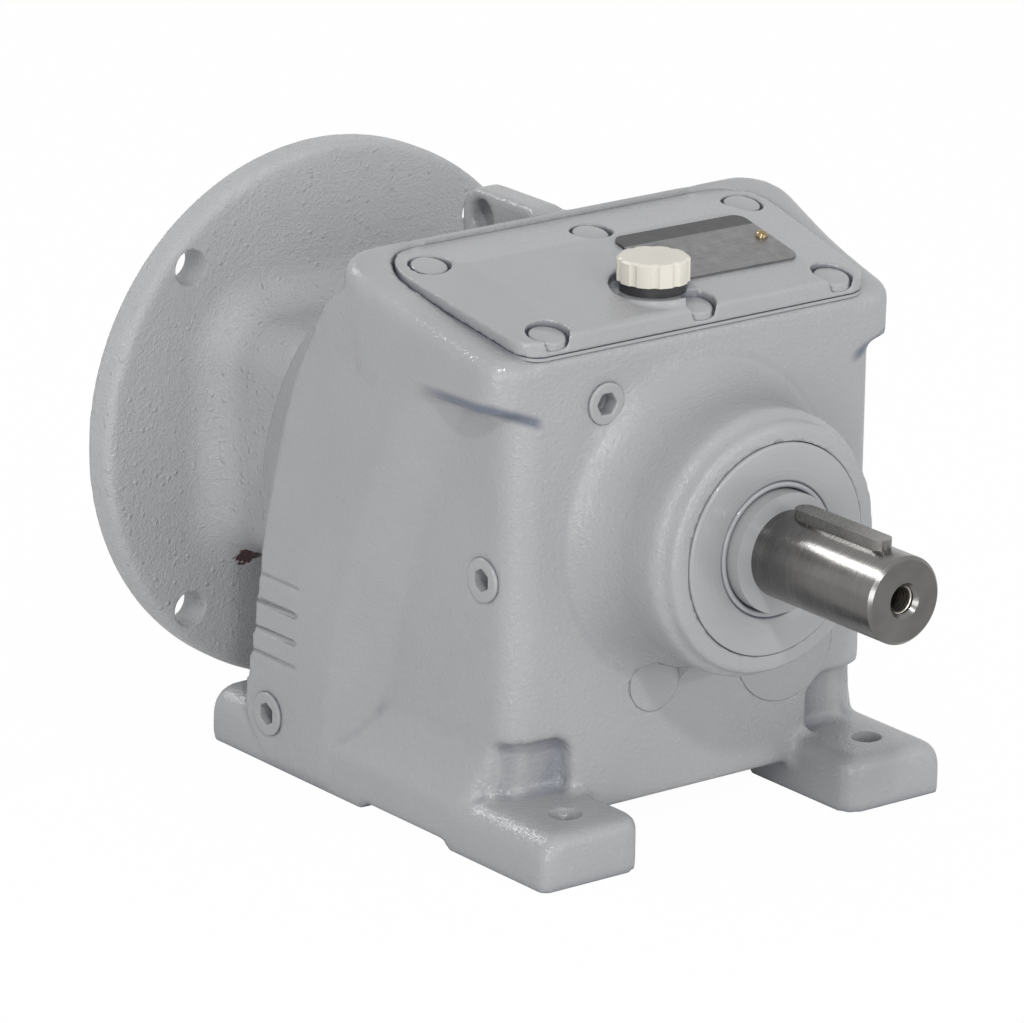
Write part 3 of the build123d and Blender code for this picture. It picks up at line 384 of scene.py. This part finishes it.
def crease_shade_group():
    """Painted shade: a bluish dark colour laid into hollows and close corners, from ambient
    occlusion and the skin's hollowness.
    """
    group, given, result = effect_group(
        "crease_shade",
        [("Color", "Color", (0.36, 0.365, 0.37, 1)), ("Open Air", "Float", 1.0),
         ("Open From", "Float", 0.8), ("Crevice", "Float", 0.7)],
        [("Color", "Color")])
    close = spread(group, given["Open Air"], 0.15, given["Open From"], given["Crevice"], 0.0)
    bend = add_node(group, "Attribute", {"attribute_name": "bend"})
    hollow = spread(group, bend.outputs["Fac"], 0.34, 1.0, 0.0, 0.45)
    share = figure(group, "MAXIMUM", close, hollow)
    group.links.new(mixed(group, share, given["Color"], crease_shade_blue), result["Color"])
    return group


cast_paint = cast_paint_group()
crease_shade = crease_shade_group()


def painted(name, tint, sand, peel, depth, crevice=0.7, reach=7.0, specks=0.3, open_from=0.8):
    """Grey gloss paint over iron or steel, with bluish painted shade in its hollows and close
    corners.
    """
    made, tree, surface = bare_material(name)
    coat = add_node(tree, "Group", {"node_tree": cast_paint}, Tint=(*tint, 1), Sand=sand,
                    Peel=peel, Specks=specks)
    # Ambient occlusion within the reach sets how much painted shade each hollow gets.
    air = add_node(tree, "AmbientOcclusion", {"samples": 8}, Distance=reach * MM)
    crease_shade_node = add_node(tree, "Group", {"node_tree": crease_shade}, Color=coat.outputs["Color"],
                      Open_Air=air.outputs["AO"], Open_From=open_from, Crevice=crevice)
    bump = add_node(tree, "Bump", {"name": "grain"}, Strength=1.0, Distance=depth * MM,
                    Height=coat.outputs["Height"])
    shader = add_node(tree, "BsdfPrincipled", {"name": "finish"}, Normal=bump.outputs["Normal"],
                      Base_Color=crease_shade_node.outputs["Color"], Roughness=coat.outputs["Roughness"])
    tree.links.new(shader.outputs[0], surface)
    return made


def touch_up(material, share, color):
    """Lays another colour over a painted material by a share."""
    tree = material.node_tree
    base = tree.nodes["finish"].inputs["Base Color"]
    tree.links.new(mixed(tree, share, base.links[0].from_socket, color), base)


paint_tint = (0.325, 0.329, 0.337)
# On the housing the painted shade reaches far: under the boss, between the feet and in the
# recesses.
housing_paint = painted("housing_paint", paint_tint, 0.6, 0.9, 0.26, 0.45, 16.0, open_from=0.6)

# Painted shadow: a bluish dark line laid under each upper corner's overhang, where the ledge
# throws its shade, running back along the side and round to the front wall.
tree = housing_paint.node_tree
spot = add_node(tree, "SeparateXYZ", Vector=object_spot(tree))
aside = figure(tree, "ABSOLUTE", spot.outputs["X"])
brow_shadow_height = spread(tree, aside, 0.0568, 0.0708, 0.1277, 0.1330)
off_brow_shadow = figure(tree, "ABSOLUTE", figure(tree, "SUBTRACT", spot.outputs["Z"], brow_shadow_height))
line = spread(tree, off_brow_shadow, 0.0026, 0.0004, 0.0, 0.8, "SMOOTHSTEP")
line = figure(tree, "MULTIPLY", line, spread(tree, aside, 0.0545, 0.0590, curve="SMOOTHSTEP"))
fade = spread(tree, spot.outputs["Y"], -0.016, -0.034, curve="SMOOTHSTEP")
touch_up(housing_paint, figure(tree, "MULTIPLY", line, fade), crease_shade_blue)
housing_casting.data.materials.append(housing_paint)


# Bore caps: pressed steel discs that close the bores in the front wall, painted with the wall.
# Only a hair-thin seam shows where each one sits.
# They keep their CAD shape.
def dress(material, *nodes):
    """Gives CAD nodes a material."""
    for name in nodes:
        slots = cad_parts[name].data.materials
        slots.clear()
        slots.append(material)


dress(housing_paint, "large_bore_cap", "small_bore_cap")


# Top cover: a thin casting screwed down on the sloped top, with a raised field and a dished rim.
# It is painted in place, so its joint is a narrow line, darkened by painted crevice shade.
# Six screw pockets and the breather's seat are part of it.
cover_casting = cast_skin(merged_bmesh("top_cover"), "cover_casting", 0.55 * MM, 3, 199000)
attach(cover_casting, "housing")
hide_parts("top_cover")
cover_paint = painted("cover_paint", paint_tint, 0.5, 0.7, 0.18)
cover_casting.data.materials.append(cover_paint)


# Motor adapter: an iron casting with a square neck and a round flange, as rough as the housing.
# Its flange shows the coarsest sand grain of the whole unit, and its bolt holes are drilled.
# It is painted all over but for one chip at the foot of the neck, where brown primer shows.
flange_step = 52.76
flange_axis_height = 78.0
flange_hole_radius = 5.6
flange_holes = [(flange_step * a, flange_axis_height + flange_step * b)
                for a in (-1, 1) for b in (-1, 1)]
casting = merged_bmesh("adapter")
for x, z in flange_holes:
    lying_bar(casting, flange_hole_radius + 1, 119, 130, x, z)
adapter_casting = cast_skin(casting, "adapter_casting", 1.02 * MM, 6, 199000)
cuts = bmesh.new()
for x, z in flange_holes:
    lying_bar(cuts, flange_hole_radius, 115, 135, x, z, 48)
cut_away(adapter_casting, cuts)
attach(adapter_casting, "housing")
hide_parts("adapter")

# The adapter's paint is the housing grey made lighter: painted light that makes up for the shade
# on the flange behind the housing.
adapter_brightened_tint = [1.30 * share for share in paint_tint]
adapter_paint = painted("adapter_paint", adapter_brightened_tint, 1.5, 0.9, 0.36, specks=0.9)
chip_middle = (-0.0348, 0.1145, 0.0399)
primer_brown = (0.055, 0.018, 0.02, 1)
tree = adapter_paint.node_tree
spot = object_spot(tree)
ragged = add_node(tree, "TexNoise", Vector=spot, Scale=420.0, Detail=3.0, Roughness=0.7)
away = add_node(tree, "VectorMath", {"operation": "DISTANCE"}, i0=spot, i1=chip_middle)
edge = figure(tree, "MULTIPLY_ADD", ragged.outputs["Fac"], 0.009, away.outputs["Value"])
touch_up(adapter_paint, spread(tree, edge, 0.0088, 0.0082), primer_brown)
adapter_casting.data.materials.append(adapter_paint)


# Plugs and screws: steel socket plugs and cap screws, sprayed over with the castings.
# Paint rounds the plugs' edges and fills the bottoms of their sockets.
# Each plug is a softened copy of its CAD solid.
# Their sockets and seams get a strong, short-reaching painted crevice shade.
small_paint = painted("small_part_paint", paint_tint, 0.3, 0.6, 0.12, 0.9, 4.0)
for node in ("front_level_plug", "side_level_plugs", "drain_plugs"):
    softened = cast_skin(merged_bmesh(node), "painted_" + node, 0.3 * MM, 3, 60000)
    softened.data.materials.append(small_paint)
    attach(softened, "housing")
    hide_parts(node)
dress(small_paint, "adapter_screws")


# Cover screws: flat-headed screws whose sockets the paint has filled level.
# Each sits low in its pocket as a plain round disc, square to the sloped cover.
# The heads take their places from the CAD screws.
cover_slope = math.radians(11.6)
slope_up = Vector((0, -math.sin(cover_slope), math.cos(cover_slope)))
lean = Matrix.Rotation(cover_slope, 4, "X")
screw_spots = [(x, y) for y, half in ((-47.4, 51.1), (-0.5, 56.5)) for x in (-half, 1.0, half)]
head_radius, head_top_radius, head_height = 5.6, 5.3, 2.6
sunk = 0.7
corners = [v.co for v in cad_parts["cover_screws"].data.vertices]
heads = bmesh.new()
for x, y in screw_spots:
    near = [c for c in corners if (c - Vector((x * MM, y * MM, c.z))).length < 7 * MM]
    level = max(c.dot(slope_up) for c in near)
    upper = [c for c in near if level - c.dot(slope_up) < 0.05 * MM]
    middle = (Vector(map(min, zip(*upper))) + Vector(map(max, zip(*upper)))) / 2
    spot = Matrix.Translation(middle - slope_up * sunk * MM) @ lean
    bmesh.ops.create_cone(heads, cap_ends=True, segments=64, radius1=head_radius * MM,
                          radius2=head_top_radius * MM, depth=head_height * MM, matrix=spot)
edges = [e for e in heads.edges if len(e.link_faces) == 2 and e.calc_face_angle() > 1.0]
bmesh.ops.bevel(heads, geom=edges, offset=0.55 * MM, affect="EDGES", segments=4, profile=0.5,
                material=-1)
screw_heads = shade_smooth(place(heads, "cover_screw_heads"))
screw_heads.data.materials.append(small_paint)
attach(screw_heads, "housing")
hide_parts("cover_screws")


# Output seal: a rubber lip seal pressed into the boss, painted over on its outer face.
# Its case shows as rings round the shaft, with a dark line at the bore and at the lip.
# It is turned as one profile round the shaft.
def turned(name, profile, x=0.0, z=90.0, sides=128):
    """A solid turned round an axis along Y from an outline of radius and Y, in millimetres."""
    lathe = bmesh.new()
    ring = [lathe.verts.new(((x + r) * MM, y * MM, z * MM)) for r, y in profile]
    edges = [lathe.edges.new((a, b)) for a, b in zip(ring, ring[1:] + ring[:1])]
    bmesh.ops.spin(lathe, geom=ring + edges, cent=(x * MM, 0, z * MM), axis=(0, 1, 0),
                   angle=2 * math.pi, steps=sides, use_merge=True)
    bmesh.ops.remove_doubles(lathe, verts=lathe.verts[:], dist=1e-7)
    return shade_smooth(place(lathe, name))


seal_face = [
    (30.85, -79.6), (30.85, -87.9), (30.6, -88.25), (30.0, -88.35), (20.25, -88.35),
    (19.95, -88.15), (19.8, -87.2), (19.6, -87.2), (19.45, -88.2), (19.15, -88.45),
    (18.3, -88.45), (18.0, -88.2), (17.7, -87.4), (17.6, -79.6),
]
seal_ring = turned("seal_ring", seal_face)
# Its grooves and the gap at the lip get painted crevice shade as well.
seal_paint = painted("seal_paint", paint_tint, 0.15, 0.5, 0.05, 0.75, 4.0)
tree = seal_paint.node_tree
flat = add_node(tree, "VectorMath", {"operation": "MULTIPLY"}, i0=object_spot(tree), i1=(1, 0, 1))
out_from_axis = add_node(tree, "VectorMath", {"operation": "DISTANCE"}, i0=flat.outputs[0],
                         i1=(0, 0, 0.09))
rings = add_node(tree, "TexNoise", {"noise_dimensions": "1D"}, W=out_from_axis.outputs["Value"],
                 Scale=1500.0, Detail=3.0)
grooves = add_node(tree, "Bump", Strength=1.0, Distance=0.06 * MM, Height=rings.outputs["Fac"])
tree.links.new(grooves.outputs["Normal"], tree.nodes["grain"].inputs["Normal"])
seal_ring.data.materials.append(seal_paint)
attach(seal_ring, "housing")
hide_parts("output_seal")


# Output shaft and key: turned carbon steel with fine tool rings and a film of oil.
# The spray paint reaches over the seal's seat and ends in a clean line before the bare end.
# The tapped centre hole shows its thread, and the key of drawn steel is a push fit in its slot.
def tool_rings_group():
    """Turned steel: fine rings along Y under a thin, uneven film."""
    group, given, result = effect_group(
        "tool_rings",
        [("Color", "Color", (0.4, 0.4, 0.4, 1)), ("Rings", "Float", 900.0),
         ("Rough", "Float", 0.28), ("Mottle", "Float", 0.08)],
        [("Color", "Color"), ("Roughness", "Float"), ("Height", "Float")])
    spot = object_spot(group)
    stretch = add_node(group, "CombineXYZ", X=6.0, Y=given["Rings"], Z=6.0)
    squeezed = add_node(group, "Mapping", Vector=spot, Scale=stretch.outputs[0])
    ring = add_node(group, "TexNoise", Vector=squeezed.outputs[0], Scale=1.0, Detail=4.0,
                    Roughness=0.7).outputs["Fac"]
    film = add_node(group, "TexNoise", Vector=spot, Scale=90.0, Detail=4.0, Roughness=0.6)
    tone = spread(group, film.outputs["Fac"], 0.3, 0.7,
                  figure(group, "SUBTRACT", 1.0, given["Mottle"]),
                  figure(group, "ADD", 1.0, given["Mottle"]))
    tone = figure(group, "MULTIPLY", tone, spread(group, ring, 0.3, 0.7, 0.86, 1.1))
    gloss = spread(group, ring, 0.3, 0.7, figure(group, "SUBTRACT", given["Rough"], 0.05),
                   figure(group, "ADD", given["Rough"], 0.08))
    group.links.new(scaled(group, given["Color"], tone), result["Color"])
    group.links.new(gloss, result["Roughness"])
    group.links.new(ring, result["Height"])
    return group


tool_rings = tool_rings_group()


def metal(name, color, rough, rings, depth, mottle=0.08):
    """Bare steel with fine turned rings along Y."""
    made, tree, surface = bare_material(name)
    finish = add_node(tree, "Group", {"node_tree": tool_rings}, Color=(*color, 1), Rings=rings,
                      Rough=rough, Mottle=mottle)
    bump = add_node(tree, "Bump", Strength=1.0, Distance=depth * MM,
                    Height=finish.outputs["Height"])
    shader = add_node(tree, "BsdfPrincipled", {"name": "finish"}, Metallic=1.0,
                      Base_Color=finish.outputs["Color"], Roughness=finish.outputs["Roughness"],
                      Normal=bump.outputs["Normal"])
    tree.links.new(shader.outputs[0], surface)
    return made


paint_line = -92.6
shaft_steel = metal("turned_shaft_steel", (0.185, 0.18, 0.175), 0.22, 2600.0, 0.02, 0.12)
tree = shaft_steel.node_tree
along = add_node(tree, "SeparateXYZ", Vector=object_spot(tree))
coated = figure(tree, "GREATER_THAN", along.outputs["Y"], paint_line * MM)
touch_up(shaft_steel, coated, (*paint_tint, 1))
bare = figure(tree, "SUBTRACT", 1.0, coated)
tree.links.new(bare, tree.nodes["finish"].inputs["Metallic"])
dress(shaft_steel, "output_shaft")


def fine_grain_group():
    """A moulded, stamped or drawn finish with a fine grain and slight changes of tone."""
    group, given, result = effect_group(
        "fine_grain",
        [("Color", "Color", (0.5, 0.5, 0.5, 1)), ("Grain", "Float", 900.0),
         ("Rough", "Float", 0.4), ("Vary", "Float", 0.04)],
        [("Color", "Color"), ("Roughness", "Float"), ("Height", "Float")])
    spot = object_spot(group)
    grain = add_node(group, "TexNoise", Vector=spot, Scale=given["Grain"], Detail=3.0,
                     Roughness=0.6).outputs["Fac"]
    wide = figure(group, "DIVIDE", given["Grain"], 12.0)
    cloud = add_node(group, "TexNoise", Vector=spot, Scale=wide, Detail=2.0).outputs["Fac"]
    tone = spread(group, cloud, 0.3, 0.7, figure(group, "SUBTRACT", 1.0, given["Vary"]),
                  figure(group, "ADD", 1.0, given["Vary"]))
    gloss = spread(group, grain, 0.3, 0.7, figure(group, "SUBTRACT", given["Rough"], 0.05),
                   figure(group, "ADD", given["Rough"], 0.05))
    group.links.new(scaled(group, given["Color"], tone), result["Color"])
    group.links.new(gloss, result["Roughness"])
    group.links.new(grain, result["Height"])
    return group


fine_grain = fine_grain_group()


def plain(name, color, rough, grain, depth, vary=0.04, metallic=0.0):
    """A moulded, stamped or drawn finish."""
    made, tree, surface = bare_material(name)
    finish = add_node(tree, "Group", {"node_tree": fine_grain}, Color=(*color, 1), Grain=grain,
                      Rough=rough, Vary=vary)
    bump = add_node(tree, "Bump", Strength=1.0, Distance=depth * MM,
                    Height=finish.outputs["Height"])
    shader = add_node(tree, "BsdfPrincipled", Base_Color=finish.outputs["Color"],
                      Roughness=finish.outputs["Roughness"], Normal=bump.outputs["Normal"],
                      Metallic=metallic)
    tree.links.new(shader.outputs[0], surface)
    return made


key_steel = plain("drawn_key_steel", (0.23, 0.225, 0.215), 0.28, 900.0, 0.02, 0.10, 1.0)
dress(key_steel, "output_key")

thread_steel = metal("thread_steel", (0.50, 0.47, 0.43), 0.30, 800.0, 0.01)
thread_start, pitch, turns = -141.4, 1.25, 14
thread = []
for turn in range(turns):
    y = thread_start + pitch * turn
    thread += [(4.15, y), (3.35, y + 0.55), (4.15, y + 1.1)]
thread += [(4.4, thread[-1][1]), (4.4, thread_start)]
tap_thread = turned("tap_thread", thread, sides=48)
tap_thread.data.materials.append(thread_steel)
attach(tap_thread, "output")


# Breather: a cream moulded cap with finger lobes on a black sealing ring and a brass stem.
# The cap screws down on the cover and vents under its rim.
# Its top is plain.
dress(plain("cream_plastic", (0.60, 0.575, 0.51), 0.42, 900.0, 0.02), "breather_cap")
dress(plain("black_sealing_ring", (0.02, 0.02, 0.022), 0.45, 900.0, 0.02), "breather_ring")
dress(plain("turned_brass", (0.60, 0.47, 0.24), 0.32, 700.0, 0.01, 0.06, 1.0), "breather_stem")


# Name plate: a thin stamped plate held by two rivets, left blank.
# A darker printed band runs along its rear edge; the rest is bare and brushed along its length.
# It lies on the sloped field of the cover.
plate_turn = (0, 0, math.radians(1.0))
plate_shift = (-0.024, 0.0236, 0)
plate_grey = (0.185, 0.185, 0.185, 1)
band_grey = (0.065, 0.065, 0.067, 1)
plate_metal, tree, surface = bare_material("plate_metal")
spot = object_spot(tree)
flat = add_node(tree, "Mapping", {"vector_type": "POINT"}, Vector=spot, Location=plate_shift,
                Rotation=plate_turn).outputs[0]
brushed = add_node(tree, "Mapping", Vector=flat, Scale=(60.0, 1800.0, 60.0))
strokes = add_node(tree, "TexNoise", Vector=brushed.outputs[0], Scale=1.0, Detail=3.0,
                   Roughness=0.7).outputs["Fac"]
cloud = add_node(tree, "TexNoise", Vector=spot, Scale=260.0, Detail=3.0, Roughness=0.7)
across = add_node(tree, "SeparateXYZ", Vector=flat)
band = spread(tree, across.outputs["Y"], 0.0068, 0.0070)
mean = figure(tree, "ADD", strokes, cloud.outputs["Fac"])
shade = scaled(tree, mixed(tree, band, plate_grey, band_grey),
               spread(tree, mean, 0.7, 1.3, 0.75, 1.3))
bump = add_node(tree, "Bump", Strength=1.0, Distance=0.012 * MM, Height=strokes)
shader = add_node(tree, "BsdfPrincipled", Base_Color=shade, Metallic=0.7,
                  Roughness=spread(tree, strokes, 0.3, 0.7, 0.30, 0.42),
                  Normal=bump.outputs["Normal"])
tree.links.new(shader.outputs[0], surface)
dress(plate_metal, "type_plate")
dress(plain("rivet_brass", (0.28, 0.22, 0.13), 0.22, 700.0, 0.01, 0.05, 1.0), "plate_rivets")


# Gaskets: dark sheet under the cover and at the adapter joint.
# The cover's was sprayed over with the joint, so it shows only as a line in the gap.
# The adapter's is bare.
dress(small_paint, "cover_gasket")
dress(plain("gasket_sheet", (0.10, 0.10, 0.105), 0.7, 1200.0, 0.02), "adapter_gasket")


# Gears and shafts inside: hobbed and hardened steel, turned journals and plain keys.
# Only the hollow end of the input shaft shows, through the motor opening.
# The finish follows each part's work.
gear_steel = metal("hobbed_steel", (0.40, 0.40, 0.41), 0.28, 900.0, 0.02)
plain_steel = metal("plain_steel", (0.42, 0.42, 0.42), 0.34, 1500.0, 0.01)
dress(gear_steel, "output_gear", "intermediate_gear", "intermediate_shaft", "input_shaft")
dress(plain_steel, "output_gear_key", "intermediate_gear_key", "output_spacer",
      "input_retaining_ring")
dress(plain("input_seal_rubber", (0.03, 0.03, 0.032), 0.5, 900.0, 0.02), "input_seal")


# Ball bearings: ground rings and polished balls.
# Only the input side can be seen, through the motor opening.
# All share one bright finish.
ring_steel = metal("ground_bearing_steel", (0.62, 0.62, 0.63), 0.16, 2000.0, 0.004, 0.03)
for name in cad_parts:
    if "_bearing_" in name:
        dress(ring_steel, name)
